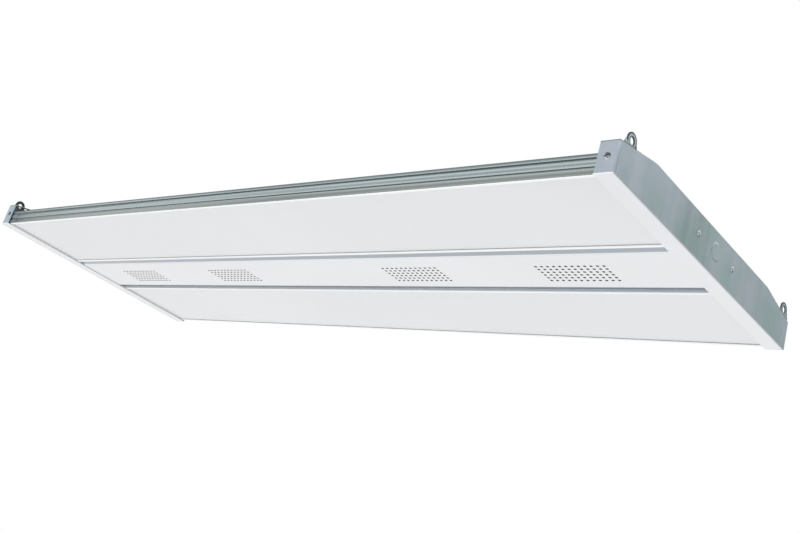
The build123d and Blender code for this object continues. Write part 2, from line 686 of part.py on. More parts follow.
def make_rivet(y, z):
    """A blind rivet through the right cap's plate and the spine's end."""
    inner = CAP_INNER_X - SPINE_SHEET
    shank = slim_rod(inner, y, z, RIVET_DIAMETER, CAP_SHEET + SPINE_SHEET, (1, 0, 0))
    tail = slim_rod(inner, y, z, RIVET_TAIL_DIAMETER, RIVET_TAIL_LENGTH, (-1, 0, 0))
    head = cone(Plane(origin=(HALF_LENGTH, y, z), z_dir=(1, 0, 0)), RIVET_HEAD_HEIGHT, RIVET_HEAD_DIAMETER,
                RIVET_HEAD_TOP)
    return shank + tail + head


def hex_screw(x, y, z, length, direction):
    """A hexagon-head tapping screw whose head rests at a point and whose shank runs along Z."""
    shank = slim_rod(x, y, z, HEX_SCREW_SHANK, length, (0, 0, direction))
    head = slim_rod(x, y, z, HEX_SCREW_HEAD, HEX_SCREW_HEAD_HEIGHT, (0, 0, -direction))
    return head + shank


def both_ends(solids):
    """Solids drawn for the right end, and their copies for the left end."""
    return solids + [left(item) for item in solids]


def both_halves(solids):
    """Solids drawn for the far half, and their copies for the near half."""
    return solids + [near(item) for item in solids]


def make_parts():
    """Every named piece of the light."""
    cap = make_end_cap()
    strip = make_end_strip()
    sink = make_heat_sink()
    lens = make_lens()
    driver = make_driver()
    board = make_led_board()
    chips = make_led_chips()
    connector = make_connector()
    lead = make_output_lead()
    supply = make_supply_lead()
    grommet = make_grommet()
    rivets = [make_rivet(y, z) for y, z in rivet_places()]
    spine_screws = [hex_screw(x, spine_screw_u(), SINK_WEB_TOP + SPINE_SHEET, SPINE_SHEET + SINK_WEB, -1)
                    for x in spine_screw_columns()]
    board_screws = [hex_screw(x, BOARD_U, BOARD_BOTTOM, BOARD_THICKNESS + SINK_WEB, 1)
                    for x in board_screw_columns()]
    driver_screws = [hex_screw(x, y, SPINE_CEILING - DRIVER_BASE, DRIVER_BASE + SPINE_SHEET, 1)
                     for x, y in driver_screw_places()]
    ground_x, ground_y = ground_screw_place()
    ground = hex_screw(ground_x, ground_y, SPINE_CEILING - TONGUE_THICKNESS, TONGUE_THICKNESS + SPINE_SHEET, 1)
    return {
        "end_cap_left": left(cap),
        "end_cap_right": cap,
        "end_strip_left": left(strip),
        "end_strip_right": strip,
        "heat_sink_near": left(near(sink)),
        "heat_sink_far": sink,
        "lens_near": near(lens),
        "lens_far": lens,
        "centre_cover": make_centre_cover(),
        "spine_channel": make_spine_channel(),
        "driver_left": left(driver),
        "driver_right": driver,
        "driver_screws": group(driver_screws),
        "terminal_block": make_terminal_block(),
        "led_board_near_left": left(near(board)),
        "led_board_near_right": near(board),
        "led_board_far_left": left(board),
        "led_board_far_right": board,
        "led_chips_near": group([near(item) for item in both_ends(chips)]),
        "led_chips_far": group(both_ends(chips)),
        "board_connectors": group(both_ends(both_halves([connector]))),
        "board_screws": group(both_halves(board_screws)),
        "output_leads_left": group(both_halves([left(lead)])),
        "output_leads_right": group(both_halves([lead])),
        "supply_leads": group(both_ends([supply])),
        "grommets": group(both_ends(both_halves([grommet]))),
        "flange_screws": group(both_ends(both_halves([make_flange_screw()]))),
        "end_rivets": group(both_ends(rivets)),
        "spine_screws": group(both_halves(spine_screws)),
        "earth_lead": make_earth_lead(),
        "ground_screw": ground,
    }


def main():
    os.makedirs("parts", exist_ok=True)
    for name, part in make_parts().items():
        export_step(part, f"parts/{name}.step")


main()
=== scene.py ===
"""Linear LED high bay light, seen from below its near right corner.

The end caps, strips, heat sinks, lenses and inner pieces are CAD nodes with procedural materials.
The perforated cover, the rivet heads and the flange screws are meshes that replace plainer CAD solids.
"""

import json
import math

import bmesh
import bpy
from mathutils import Matrix, Vector

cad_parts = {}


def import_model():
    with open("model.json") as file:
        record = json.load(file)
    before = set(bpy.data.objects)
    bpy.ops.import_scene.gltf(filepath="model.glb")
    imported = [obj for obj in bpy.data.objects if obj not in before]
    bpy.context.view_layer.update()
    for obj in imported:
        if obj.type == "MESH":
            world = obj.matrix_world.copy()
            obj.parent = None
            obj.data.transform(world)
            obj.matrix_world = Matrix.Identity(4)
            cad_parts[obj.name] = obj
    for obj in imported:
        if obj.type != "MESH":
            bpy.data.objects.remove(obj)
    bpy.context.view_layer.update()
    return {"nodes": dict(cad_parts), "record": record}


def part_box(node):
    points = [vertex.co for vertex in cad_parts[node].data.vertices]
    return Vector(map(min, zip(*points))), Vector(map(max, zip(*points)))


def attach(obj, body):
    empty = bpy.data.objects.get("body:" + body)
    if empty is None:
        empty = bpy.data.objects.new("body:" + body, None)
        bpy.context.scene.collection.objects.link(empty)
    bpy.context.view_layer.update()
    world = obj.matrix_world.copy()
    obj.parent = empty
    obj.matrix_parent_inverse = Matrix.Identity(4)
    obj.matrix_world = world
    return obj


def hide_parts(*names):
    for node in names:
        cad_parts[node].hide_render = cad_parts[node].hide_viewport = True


MM = 0.001

# Sizes that the solids also have, in millimetres
CAP_SIDE_HEIGHT = 37.3
CAP_TOP_HEIGHT = 51.3
CAP_SLOPE_RUN = 72.0
CAP_BEND_RADIUS = 2.0
LUG_REACH = 201.5
LUG_HOLE_HEIGHT = 45.3
LUG_HOLE_RADIUS = 4.0
LUG_RADIUS = 9.2
SINK_OUTER = 216.7
SINK_TOP = 26.0
FLUTE_DEPTH = 2.0
LOWER_GROOVE_HEIGHT = 10.6
CHANNEL_HALF = 58.4
COVER_HALF = 44.2
COVER_SHEET = 0.6
VENT_DIAMETER = 3.9
VENT_PITCH = (8.2, 7.8)
VENT_COUNT = (12, 6)
VENT_SHIFT = 5.0
VENT_GROUPS = (-434.0, -190.0, 190.0, 434.0)
KNOCKOUT_SHIFT = 6.0
KNOCKOUT_HEIGHT = 27.0
KNOCKOUT_DIAMETER = 22.0
KNOCKOUT_SLOT = 0.6
RIVET_PITCH = 89.0
RIVET_HEAD = 6.0
RIVET_RISE = 1.5
FLANGE_SCREW_X = 12.0
FLANGE_SCREW_HEIGHT = 19.6
FLANGE_SCREW_HEAD = 5.4
FLANGE_SCREW_SHANK = 3.6
FLANGE_SCREW_SINK = 2.1
DIMPLE_DIAMETER = 8.6

# Finer shapes that only the scene has, in millimetres
COVER_BEND = 1.2
COVER_BEND_STEPS = 4
VENT_STEPS = 20
RIVET_BRIM = 0.6
RIVET_DOME_ANGLES = (0, 12, 24, 36, 48, 60, 72)
RIVET_HOLLOW = 0.3
RIVET_HOLLOW_TAPER = 0.15
KNOCKOUT_PROUD = 0.5
KNOCKOUT_BEVEL = 1.5
KNOCKOUT_BACK = 0.1
SCREW_DRIVE = 0.8
SCREW_DRIVE_TAPER = 0.2
SCREW_FACE_INSET = 0.5
SCREW_EDGE_INSET = 0.2
SCREW_EDGE_DROP = 0.15
SCREW_UNDERCUT = 0.3
SCREW_HEAD_DEPTH = 1.0
SCREW_SHANK_END = 8.0
SCREW_TIP = 8.6
CUP_GAP = 0.05
CUP_RIM_DROP = 0.02
CUP_SHEET = 0.04

# How far the edges of CAD nodes are rounded, in millimetres
EDGE_WIDTHS = {
    "end_cap_left": 0.25,
    "end_cap_right": 0.25,
    "end_strip_left": 0.25,
    "end_strip_right": 0.25,
    "heat_sink_near": 0.2,
    "heat_sink_far": 0.2,
    "spine_channel": 0.2,
    "driver_left": 0.4,
    "driver_right": 0.4,
    "terminal_block": 0.4,
    "board_connectors": 0.3,
}
EDGE_SEGMENTS = 2
EDGE_ANGLE = 30
WELD_DISTANCE = 1e-6
FLAT_ANGLE = 0.5
LATHE_SHARP_ANGLE = 16

# Up to where the heat sinks' bottom lips are painted white, brighter than the cover as a painted highlight,
# in millimetres
LIP_PAINT_HEIGHT = 2.1

# Masks of the finishes: where each is 0 and where it is 1, in millimetres from the edge that it follows
FADES = {
    "lug_rim": (-2.4, -0.9),
    "lug_hole": (1.8, 0.6),
    "lug_foot": (-5.3, -2.3),
    "lug_side": (2.0, 0.5),
    "bend_foot": (0.4, -0.6),
    "bend_crest": (-0.4, -0.1),
    "bend_face": (-2.0, -1.0),
    "inner_face": (0.72, 1.08),
    "plate_depth": (3.6, 2.4),
    "between_flanges": (-2.4, -3.6),
    "flange": (-1.5, -0.5),
    "flange_brim": (-1.5, -0.9),
    "dark_band_near": (-100.0, -60.0),
    "dark_band_far": (-5.0, -30.0),
    "rail_foot_shade": (0.0, -1.0),
    "rail_end_shadow": (44.0, 30.0),
    "rail_face": (-0.5, -0.2),
    "rail_groove_shade": (-0.7, -1.3),
    "rail_crest_shade": (-2.6, -1.9),
    "channel": (4.0, 3.0),
    "channel_slope_shade": (0.0, 0.3),
    "channel_wall_highlight": (-0.6, -0.2),
    "lip_paint_and_highlight": (0.3, 0.1),
    "strip_bend": (-2.4, -0.6),
    "strip_edge": (0.5, 0.1),
    "screw_recess": (-0.7, -0.3),
    "screw_recess_shade": (-1.6, -0.6),
}

# Screen colours that each finish wanders between
TONES = {
    "zinc_spangle": ((164, 183, 187), (177, 193, 197)),
    "zinc_rolled": ((150, 174, 176), (184, 199, 204)),
    "zinc_clouds": ((150, 180, 178), (188, 192, 206)),
    "zinc_flange_light": ((176, 186, 198), (186, 193, 206)),
    "zinc_dark_band": ((122, 144, 142), (150, 168, 168)),
    "zinc_bend_shade": ((112, 116, 114), (132, 136, 134)),
    "zinc_shaded": ((92, 95, 99), (112, 115, 119)),
    "zinc_edge_and_shade": ((52, 57, 60), (76, 82, 85)),
    "rail_lines": ((158, 171, 173), (188, 200, 203)),
    "rail_clouds": ((168, 181, 183), (184, 196, 199)),
    "rail_foot_shade": ((146, 153, 150), (166, 172, 168)),
    "rail_end_shadow": ((140, 156, 172), (158, 172, 186)),
    "rail_groove_shade": ((84, 92, 94), (104, 112, 113)),
    "channel": ((172, 181, 190), (186, 194, 202)),
    "channel_slope_shade": ((116, 128, 138), (130, 141, 150)),
    "channel_wall_highlight": ((218, 224, 230), (228, 233, 238)),
    "lip_paint_and_highlight": ((242, 244, 246), (247, 248, 250)),
    "white_paint": ((231, 233, 236), (234, 236, 239)),
    "strip_bend_shade": ((156, 161, 163), (178, 182, 184)),
    "strip_edge_shade": ((206, 210, 214), (218, 222, 225)),
    "driver_case": ((223, 224, 226), (226, 227, 229)),
    "board_white": ((237, 238, 237), (240, 241, 240)),
    "opal_plastic": ((226, 228, 230), (230, 232, 234)),
    "rivet_aluminium": ((176, 184, 190), (196, 203, 208)),
    "screw_head": ((176, 180, 186), (200, 204, 208)),
    "screw_recess_highlight": ((244, 246, 248), (250, 251, 252)),
    "screw_recess_shade": ((22, 24, 26), (34, 36, 38)),
    "terminal_plastic": ((226, 226, 220), (234, 234, 228)),
    "led_yellow": ((232, 206, 104), (240, 216, 120)),
    "lead_red": ((168, 34, 30), (184, 42, 36)),
    "lead_black": ((24, 24, 25), (34, 34, 35)),
    "lead_green": ((28, 116, 52), (38, 132, 62)),
    "black_rubber": ((20, 20, 20), (30, 30, 30)),
    "earth_screw": ((30, 120, 54), (40, 138, 66)),
    "cut_edge_shade": ((44, 46, 49), (60, 63, 66)),
}

# The photograph's camera, fitted to the light's corners
CAMERA_PLACE = (1.08124, -0.98786, -0.47151)
CAMERA_TURN = (110.1841, -18.1464, 44.5298)
CAMERA_LENS = 46.002
CAMERA_SHIFT = (0.16685, -0.04106)
CAMERA_SENSOR = 36
CAMERA_NEAR = 0.01

# Area lamps as (place, size, power), and the wide light as (direction, spread in degrees, strength)
UNDER_LAMP = ((0.0, -0.4, -2.6), 3.0, 9)
TOP_LAMP = ((-0.8, 0.6, 2.2), 2.0, 16)
NEAR_LIGHT = ((0.2, 2.6, -0.1), 35, 1.05)
FILL_LIGHT = 0.86

# What shiny surfaces mirror: steps in height as (change, start, end), then patches
# as (direction, inner degrees, outer degrees, factor)
STUDIO_BASE = 0.8
STUDIO_STEPS = [
    (0.3, -0.62, -0.42),
    (-0.55, -0.06, 0.06),
    (0.55, 0.46, 0.60),
    (-0.3, 0.74, 0.84),
]
STUDIO_PATCHES = [
    ((0.87, 0.41, 0.27), 4, 10, 0.15),
    ((-0.88, -0.41, 0.26), 6, 18, 1.9),
    ((-0.48, -0.35, -0.80), 18, 42, 0.15),
    ((-0.45, -0.75, 0.48), 10, 30, 1.15),
    ((0.40, 0.82, 0.41), 15, 35, 1.06),
    ((0.42, 0.84, -0.28), 18, 33, 0.1),
    ((-0.10, 0.82, 0.56), 12, 24, 2.0),
]
FLOOR_REACH = 60.0
FLOOR_COLOUR = (241, 241, 241)

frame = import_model()
scene = bpy.context.scene
half_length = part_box("end_strip_right")[1].x / MM
half_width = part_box("end_strip_right")[1].y / MM


# Node helpers

def srgb(red, green, blue):
    """A colour written as screen values from 0 to 255, as linear RGBA."""
    def linear(value):
        value /= 255
        return value / 12.92 if value <= 0.04045 else ((value + 0.055) / 1.055) ** 2.4
    return linear(red), linear(green), linear(blue), 1.0


class Nodes:
    """A node tree with short ways to add and join nodes."""

    def __init__(self, tree):
        self.tree = tree

    def add(self, kind, **settings):
        """A new node with its settings."""
        node = self.tree.nodes.new(kind)
        for name, value in settings.items():
            setattr(node, name, value)
        return node

    def join(self, source, target):
        """A link from an output to an input."""
        self.tree.links.new(source, target)

    def feed(self, value, target):
        """A number or an output into an input."""
        if isinstance(value, (int, float)):
            target.default_value = value
        else:
            self.join(value, target)

    def span(self, source, low, high, start=0.3, end=0.7, smooth=False):
        """A number from low to high as the source goes from start to end."""
        node = self.add("ShaderNodeMapRange", interpolation_type="SMOOTHSTEP" if smooth else "LINEAR")
        node.inputs["From Min"].default_value = start
        node.inputs["From Max"].default_value = end
        node.inputs["To Min"].default_value = low
        node.inputs["To Max"].default_value = high
        self.join(source, node.inputs["Value"])
        return node.outputs["Result"]

    def fade(self, source, name, edge=0.0):
        """A named fade along a length, as a mask from 0 to 1 beside an edge in millimetres."""
        start, end = FADES[name]
        return self.span(source, 0, 1, (edge + start) * MM, (edge + end) * MM, smooth=True)

    def calc(self, operation, one, two=0.0):
        """One step of arithmetic on outputs or numbers."""
        node = self.add("ShaderNodeMath", operation=operation)
        self.feed(one, node.inputs[0])
        self.feed(two, node.inputs[1])
        return node.outputs["Value"]

    def product(self, first, *others):
        """Outputs or numbers multiplied together."""
        for other in others:
            first = self.calc("MULTIPLY", first, other)
        return first

    def inverse(self, mask):
        """1 where a mask is 0, and 0 where it is 1."""
        return self.calc("SUBTRACT", 1.0, mask)

    def size(self, value):
        """A number without its sign."""
        return self.calc("ABSOLUTE", value)

    def distance(self, one, two):
        """The distance that two lengths at right angles make."""
        return self.calc("SQRT", self.calc("ADD", self.calc("POWER", one, 2.0), self.calc("POWER", two, 2.0)))

    def axes(self, source):
        """The X, Y and Z of a vector."""
        node = self.add("ShaderNodeSeparateXYZ")
        self.join(source, node.inputs["Vector"])
        return node.outputs["X"], node.outputs["Y"], node.outputs["Z"]


class Finish(Nodes):
    """A material with procedural patterns on its Principled shader."""

    def __init__(self, name):
        self.material = bpy.data.materials.new(name)
        self.material.use_nodes = True
        super().__init__(self.material.node_tree)
        self.shader = self.tree.nodes["Principled BSDF"]
        self.place = self.add("ShaderNodeTexCoord").outputs["Object"]

    def stretched(self, scale):
        """Object coordinates in metres, multiplied along each axis."""
        mapping = self.add("ShaderNodeMapping")
        mapping.inputs["Scale"].default_value = scale
        self.join(self.place, mapping.inputs["Vector"])
        return mapping.outputs["Vector"]

    def noise(self, scale, stretch=(1, 1, 1), detail=3.0):
        """Cloudy grey."""
        node = self.add("ShaderNodeTexNoise")
        node.inputs["Scale"].default_value = scale
        node.inputs["Detail"].default_value = detail
        self.join(self.stretched(stretch), node.inputs["Vector"])
        return node.outputs["Fac"]

    def cells(self, scale, stretch):
        """Random grey per Voronoi cell."""
        node = self.add("ShaderNodeTexVoronoi")
        node.inputs["Scale"].default_value = scale
        self.join(self.stretched(stretch), node.inputs["Vector"])
        grey = self.add("ShaderNodeSeparateColor")
        self.join(node.outputs["Color"], grey.inputs["Color"])
        return grey.outputs["Red"]

    def tone(self, source, name, start=0.3, end=0.7):
        """A named tone, from its first to its second colour as the source goes from start to end."""
        node = self.add("ShaderNodeValToRGB")
        for element, position, colour in zip(node.color_ramp.elements, (start, end), TONES[name]):
            element.position = position
            element.color = srgb(*colour)
        self.join(source, node.inputs["Fac"])
        return node.outputs["Color"]

    def mix(self, factor, one, two):
        """Two colours mixed by a number or a mask: the first at 0, the second at 1."""
        node = self.add("ShaderNodeMix", data_type="RGBA")
        self.feed(factor, node.inputs["Factor"])
        self.join(one, node.inputs["A"])
        self.join(two, node.inputs["B"])
        return node.outputs["Result"]

    def over(self, under, colours, mask, opacity=1.0):
        """Colours laid over others where a mask is 1."""
        if opacity < 1.0:
            mask = self.product(mask, opacity)
        return self.mix(mask, under, colours)

    def bump(self, height, strength, distance):
        """A bump from a height pattern, its distance in metres."""
        node = self.add("ShaderNodeBump")
        node.inputs["Strength"].default_value = strength
        node.inputs["Distance"].default_value = distance
        self.join(height, node.inputs["Height"])
        self.join(node.outputs["Normal"], self.shader.inputs["Normal"])

    def colour(self, source):
        """The shader's base colour."""
        self.join(source, self.shader.inputs["Base Color"])

    def metallic(self, source):
        """How much of a metal the shader is."""
        self.join(source, self.shader.inputs["Metallic"])

    def rough(self, source, low, high):
        """The shader's roughness, from low to high with a pattern."""
        self.join(self.span(source, low, high), self.shader.inputs["Roughness"])

    def set(self, **values):
        """Constants straight on the shader, with underscores for spaces."""
        for name, value in values.items():
            self.shader.inputs[name.replace("_", " ")].default_value = value


# Masks of the end caps

def lug_edge_and_shade(m):
    """1 on a band round the cut rims of the hanging lugs and their holes, wider than the bare cut edge, where
    shade is painted, 0 elsewhere.
    """
    _, y, z = m.axes(m.place)
    across = m.calc("SUBTRACT", m.size(y), LUG_REACH * MM)
    up = m.calc("SUBTRACT", z, LUG_HOLE_HEIGHT * MM)
    reach = m.distance(across, up)
    rim = m.fade(reach, "lug_rim", LUG_RADIUS)
    hole = m.fade(reach, "lug_hole", LUG_HOLE_RADIUS)
    upper = m.fade(z, "lug_foot", LUG_HOLE_HEIGHT)
    beside = m.fade(m.size(across), "lug_side", LUG_RADIUS)
    return m.product(m.calc("MAXIMUM", rim, hole), upper, beside)


def top_bend_shade(m):
    """1 on the bend along the top of each end plate, where a dark line of shade is painted, 0 elsewhere."""
    x, y, z = m.axes(m.place)
    slope = (CAP_TOP_HEIGHT - CAP_SIDE_HEIGHT) / CAP_SLOPE_RUN
    inward = m.calc("SUBTRACT", half_width * MM, m.size(y))
    rise = m.calc("ADD", m.product(inward, slope), CAP_SIDE_HEIGHT * MM)
    below = m.calc("SUBTRACT", m.calc("MINIMUM", rise, CAP_TOP_HEIGHT * MM), z)
    lower = m.fade(below, "bend_foot", CAP_BEND_RADIUS)
    upper = m.fade(below, "bend_crest")
    outer = m.fade(m.size(x), "bend_face", half_length)
    return m.product(lower, upper, outer)


def left_inside_shade(m):
    """1 on the inner face of the left end plate, which looks away from the lamps and is painted in shade, 0
    elsewhere.
    """
    x, y, _ = m.axes(m.place)
    inner = m.fade(x, "inner_face", -half_length)
    plate = m.fade(x, "plate_depth", -half_length)
    between = m.fade(m.size(y), "between_flanges", half_width)
    return m.product(inner, plate, between)


# Materials

def galvanised_sheet():
    """Zinc-coated sheet: spangle, rolling streaks and cool clouds, painted light on the flanges, painted
    shade along the top bends, on the left plate's inner face and round the lug rims.
    """
    m = Finish("galvanised_sheet")
    m.set(Metallic=0.8)
    _, y, z = m.axes(m.place)
    spangle = m.cells(170, (1, 1, 0.7))
    streaks = m.noise(60, (1, 1, 0.06), detail=4)
    broad = m.noise(16)
    grain = m.mix(0.5, m.tone(spangle, "zinc_spangle", 0.1, 0.9), m.tone(streaks, "zinc_rolled", 0.35, 0.65))
    plate = m.mix(0.5, grain, m.tone(broad, "zinc_clouds", 0.35, 0.65))

    # Painted light: the side flanges, folded from the same sheet as the end plates, lighter and bluer.
    flange = m.fade(m.size(y), "flange", half_width)
    plate = m.over(plate, m.tone(broad, "zinc_flange_light"), flange, opacity=0.7)
    # A darker, greener band across the near half of each end plate.
    dark_band = m.product(m.fade(y, "dark_band_near"), m.fade(y, "dark_band_far"))
    plate = m.over(plate, m.tone(streaks, "zinc_dark_band", 0.35, 0.65), dark_band, opacity=0.45)
    # Painted shade: a dark line along the top bend of each end plate and along the top of each side flange.
    brim = m.product(flange, m.fade(z, "flange_brim", CAP_SIDE_HEIGHT))
    bend_shade_mask = m.calc("MAXIMUM", top_bend_shade(m), brim)
    plate = m.over(plate, m.tone(spangle, "zinc_bend_shade"), bend_shade_mask, opacity=0.75)
    # Painted shade on the inner face of the left end plate.
    plate = m.over(plate, m.tone(spangle, "zinc_shaded"), left_inside_shade(m))
    # Painted shade: a near-black band round the lug rims and holes, over their bare cut edges.
    m.colour(m.over(plate, m.tone(m.noise(700), "zinc_edge_and_shade"), lug_edge_and_shade(m)))
    m.rough(spangle, 0.32, 0.44)
    m.bump(m.noise(900, detail=2), strength=0.08, distance=0.0002)
    return m.material


def anodised_aluminium():
    """Extruded aluminium: die lines, matt channels and left ends, painted shade in the flutes, along the top
    edge, on the lower band, the far channel slope and the left ends, a painted highlight on the channel
    walls, bottom lips painted white with a painted highlight.
    """
    m = Finish("anodised_aluminium")
    x, y, z = m.axes(m.place)
    out = m.size(y)
    lines = m.noise(700, (0.004, 1, 1), detail=4)
    broad = m.noise(12, (0.3, 1, 1))
    metal = m.mix(0.4, m.tone(lines, "rail_lines"), m.tone(broad, "rail_clouds"))

    # Painted shade: the lower band of each rail, below the lower groove, darker.
    foot_shade = m.fade(z, "rail_foot_shade", LOWER_GROOVE_HEIGHT)
    metal = m.over(metal, m.tone(lines, "rail_foot_shade"), foot_shade, opacity=0.8)
    channel = m.fade(out, "channel", CHANNEL_HALF)
    metal = m.over(metal, m.tone(lines, "channel"), channel)
    # Painted shade: the far channel's slope darker, as under the cover's edge.
    far_slope_shade = m.product(channel, m.fade(y, "channel_slope_shade", COVER_HALF))
    metal = m.over(metal, m.tone(lines, "channel_slope_shade"), far_slope_shade)
    # Painted highlight: the channel walls near white and less metallic.
    wall = m.product(channel, m.fade(out, "channel_wall_highlight", CHANNEL_HALF))
    metal = m.over(metal, m.tone(lines, "channel_wall_highlight"), wall)
    # Painted shadow: the left end of each rail darker and bluer, as in the shadow of the side flange, and
    # less metallic.
    left_end_shadow = m.product(m.fade(x, "rail_end_shadow", -half_length), m.inverse(channel))
    metal = m.over(metal, m.tone(lines, "rail_end_shadow"), left_end_shadow, opacity=0.5)

    # Painted shade: dark lines in the flutes and along the top edge of each rail's outer face.
    face = m.fade(out, "rail_face", SINK_OUTER - FLUTE_DEPTH)
    groove_shade = m.product(face, m.fade(out, "rail_groove_shade", SINK_OUTER), 0.5)
    crest_shade = m.product(face, m.fade(z, "rail_crest_shade", SINK_TOP), 0.8)
    metal = m.over(metal, m.tone(lines, "rail_groove_shade"), m.calc("MAXIMUM", groove_shade, crest_shade))

    # The lips painted white, a little brighter than the cover's paint as a painted highlight.
    lip = m.fade(z, "lip_paint_and_highlight", LIP_PAINT_HEIGHT)
    m.colour(m.over(metal, m.tone(broad, "lip_paint_and_highlight"), lip))
    bright = m.span(m.calc("MAXIMUM", channel, left_end_shadow), 0.95, 0.35, 0.0, 1.0)
    bright = m.calc("SUBTRACT", bright, m.product(wall, 0.25))
    m.metallic(m.product(m.inverse(lip), bright))
    m.rough(lines, 0.2, 0.3)
    m.bump(lines, strength=0.12, distance=0.0001)
    return m.material


def orange_peel(m):
    """The fine uneven gloss of powder coat."""
    peel = m.noise(1400, detail=2)
    m.rough(peel, 0.36, 0.44)
    m.bump(peel, strength=0.1, distance=0.0002)


def white_paint(name):
    """Satin powder coat in a named tone."""
    m = Finish(name)
    m.colour(m.tone(m.noise(6), name))
    orange_peel(m)
    return m.material


def strip_paint():
    """The powder coat, with painted shade along the bend at each end and along the left strip's inner edge.
    """
    m = Finish("strip_paint")
    x, _, _ = m.axes(m.place)
    # Painted shade along the outer bend at each end.
    bend = m.fade(m.size(x), "strip_bend", half_length)
    # Painted shade along the left strip's inner edge, beside the lens.
    inner_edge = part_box("end_strip_right")[0].x
    edge_shade = m.fade(m.size(m.calc("ADD", x, inner_edge)), "strip_edge")
    paint = m.over(m.tone(m.noise(6), "white_paint"), m.tone(m.noise(500), "strip_bend_shade"), bend)
    m.colour(m.over(paint, m.tone(m.noise(500), "strip_edge_shade"), edge_shade))
    orange_peel(m)
    return m.material


def opal_plastic():
    """Opal sheet: light grey white, smooth, a little light let through."""
    m = Finish("opal_plastic")
    m.colour(m.tone(m.noise(3.0), "opal_plastic"))
    m.set(Subsurface_Weight=0.15, Subsurface_Radius=(0.004, 0.004, 0.004), Subsurface_Scale=1.0)
    grain = m.noise(2200, detail=2)
    m.rough(grain, 0.32, 0.4)
    m.bump(grain, strength=0.05, distance=0.0001)
    return m.material


def rivet_aluminium():
    """Bright bare aluminium."""
    m = Finish("rivet_aluminium")
    m.set(Metallic=1.0)
    grain = m.noise(1500)
    m.colour(m.tone(grain, "rivet_aluminium"))
    m.rough(grain, 0.18, 0.3)
    m.bump(grain, strength=0.08, distance=0.0001)
    return m.material


def zinc_screw():
    """Bright zinc, with painted shade in the upper half of the recess round each flange screw's head and a
    painted highlight in its lower half.
    """
    m = Finish("zinc_screw")
    x, _, z = m.axes(m.place)
    grain = m.noise(1500)
    across = m.calc("SUBTRACT", m.size(x), (half_length - FLANGE_SCREW_X) * MM)
    up = m.calc("SUBTRACT", z, FLANGE_SCREW_HEIGHT * MM)
    recess = m.fade(m.distance(across, up), "screw_recess", FLANGE_SCREW_HEAD / 2)
    # Painted shade on the recess's upper wall, a painted highlight on its lower wall.
    upper = m.fade(m.calc("ADD", up, m.product(across, 0.5)), "screw_recess_shade")
    wall = m.over(m.tone(grain, "screw_recess_highlight"), m.tone(grain, "screw_recess_shade"), upper)
    m.colour(m.over(m.tone(grain, "screw_head"), wall, recess))
    m.metallic(m.span(m.product(recess, m.inverse(upper)), 1.0, 0.2, 0.0, 1.0))
    m.rough(grain, 0.16, 0.28)
    m.bump(grain, strength=0.08, distance=0.0001)
    return m.material


def moulded(name, roughness):
    """Plastic, rubber or coloured metal with a fine grain, in a named tone."""
    m = Finish(name)
    grain = m.noise(900)
    m.colour(m.tone(grain, name))
    m.rough(grain, roughness, roughness + 0.1)
    m.bump(grain, strength=0.1, distance=0.0001)
    return m.material


materials = {
    "galvanised_sheet": galvanised_sheet(),
    "anodised_aluminium": anodised_aluminium(),
    "white_paint": white_paint("white_paint"),
    "opal_plastic": opal_plastic(),
    "driver_case": white_paint("driver_case"),
    "board_white": white_paint("board_white"),
    "zinc_screw": zinc_screw(),
    "rivet_aluminium": rivet_aluminium(),
    "terminal_plastic": moulded("terminal_plastic", 0.4),
    "led_yellow": moulded("led_yellow", 0.25),
    "lead_red": moulded("lead_red", 0.35),
    "lead_black": moulded("lead_black", 0.35),
    "lead_green": moulded("lead_green", 0.35),
    "black_rubber": moulded("black_rubber", 0.6),
    "earth_screw": moulded("earth_screw", 0.3),
}
# Painted shade: the cover's cut edges, in the vents and round its rim, near black.
cut_edge_shade = moulded("cut_edge_shade", 0.5)
end_strip_paint = strip_paint()


# CAD nodes, which keep their shape and get rounded edges

def rounded(node, width):
    """A small bevel on a node's sharp edges, in millimetres."""
    bevel = node.modifiers.new("edge", "BEVEL")
    bevel.width = width * MM
    bevel.segments = EDGE_SEGMENTS
    bevel.limit_method = "ANGLE"
    bevel.angle_limit = math.radians(EDGE_ANGLE)


def dress_nodes():
    """Each CAD node gets its record slot's material, and sheet and extruded edges a small bevel."""
    for part in frame["record"]["subparts"]:
        name = part["node"]
        node = frame["nodes"][name]
        strip = name.startswith("end_strip")
        node.data.materials.clear()
        node.data.materials.append(end_strip_paint if strip else materials[part["material_slot"]])
        weld = node.modifiers.new("weld", "WELD")
        weld.merge_threshold = WELD_DISTANCE
        flatten = node.modifiers.new("flatten", "DECIMATE")
        flatten.decimate_type = "DISSOLVE"
        flatten.angle_limit = math.radians(FLAT_ANGLE)
        if name in EDGE_WIDTHS:
            rounded(node, EDGE_WIDTHS[name])


# Building helpers

def finish_piece(mesh, name, slot, *replaced):
    """Links a mesh as a piece on the root body, with its slot's material."""
    piece = bpy.data.objects.new(name, mesh)
    scene.collection.objects.link(piece)
    mesh.materials.append(materials[slot])
    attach(piece, "root")
    if replaced:
        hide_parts(*replaced)
    return piece


def facing(place, direction):
    """A matrix that stands a piece at a place with its own Z along a direction."""
    turn = Vector(direction).to_track_quat("Z", "Y").to_matrix().to_4x4()
    return Matrix.Translation(Vector(place) * MM) @ turn


